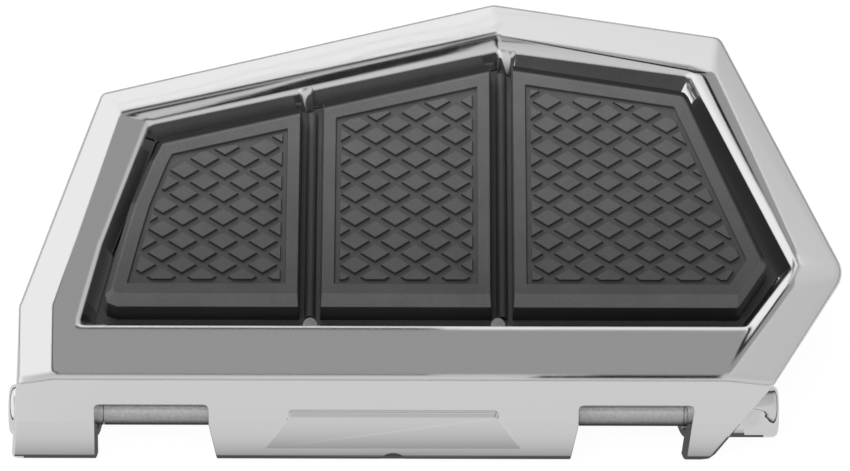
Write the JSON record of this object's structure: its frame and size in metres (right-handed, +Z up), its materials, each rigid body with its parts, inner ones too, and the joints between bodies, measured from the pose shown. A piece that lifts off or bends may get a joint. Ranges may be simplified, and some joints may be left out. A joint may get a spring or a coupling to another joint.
{
  "type": "motorcycle floorboard",
  "caption": "Folding passenger footboard: a polished cast frame with a rubber tread mat bolted into it, hinged on two pins that lie in slots of its front skirt.",
  "frame": {"origin": "middle of the hinge axis, halfway between the two pivots", "axes": "+X along the hinge axis towards the end with the slanted corner, +Y outboard, away from the hinge, +Z up, out of the tread"},
  "size_m": [0.2648, 0.1573, 0.0395],
  "materials": {
    "chromed_casting": "polished chrome on a die casting, mirror bright",
    "moulded_rubber": "matt moulded rubber, dark grey",
    "plate_steel": "dull pressed steel",
    "zinc_plated_steel": "bright zinc plate",
    "drawn_steel": "grey drawn steel, slightly rough",
    "spring_steel": "black phosphated spring steel",
    "sintered_bronze": "dull sintered bronze"
  },
  "bodies": {
    "pivots": {"left_pivot_pin": "zinc_plated_steel", "left_pivot_sleeve": "drawn_steel", "left_spacer_ring": "drawn_steel", "left_pivot_clip": "spring_steel", "right_pivot_pin": "zinc_plated_steel", "right_pivot_sleeve": "drawn_steel", "right_spacer_ring": "drawn_steel", "right_pivot_clip": "spring_steel"},
    "board": {"frame_casting": "chromed_casting", "tread_mat": "moulded_rubber", "mat_plate": "plate_steel", "mat_stud_1": "zinc_plated_steel", "mat_nut_1": "zinc_plated_steel", "mat_stud_2": "zinc_plated_steel", "mat_nut_2": "zinc_plated_steel", "mat_stud_3": "zinc_plated_steel", "mat_nut_3": "zinc_plated_steel", "mat_stud_4": "zinc_plated_steel", "mat_nut_4": "zinc_plated_steel", "mat_stud_5": "zinc_plated_steel", "mat_nut_5": "zinc_plated_steel", "mat_stud_6": "zinc_plated_steel", "mat_nut_6": "zinc_plated_steel", "left_inner_bush": "sintered_bronze", "left_outer_bush": "sintered_bronze", "right_inner_bush": "sintered_bronze", "right_outer_bush": "sintered_bronze"}
  },
  "joints": [
    {"name": "fold_up", "type": "hinge", "parent": "pivots", "child": "board", "pos_m": [0, 0, 0], "axis": [1, 0, 0], "range_deg": [0, 85]}
  ]
}
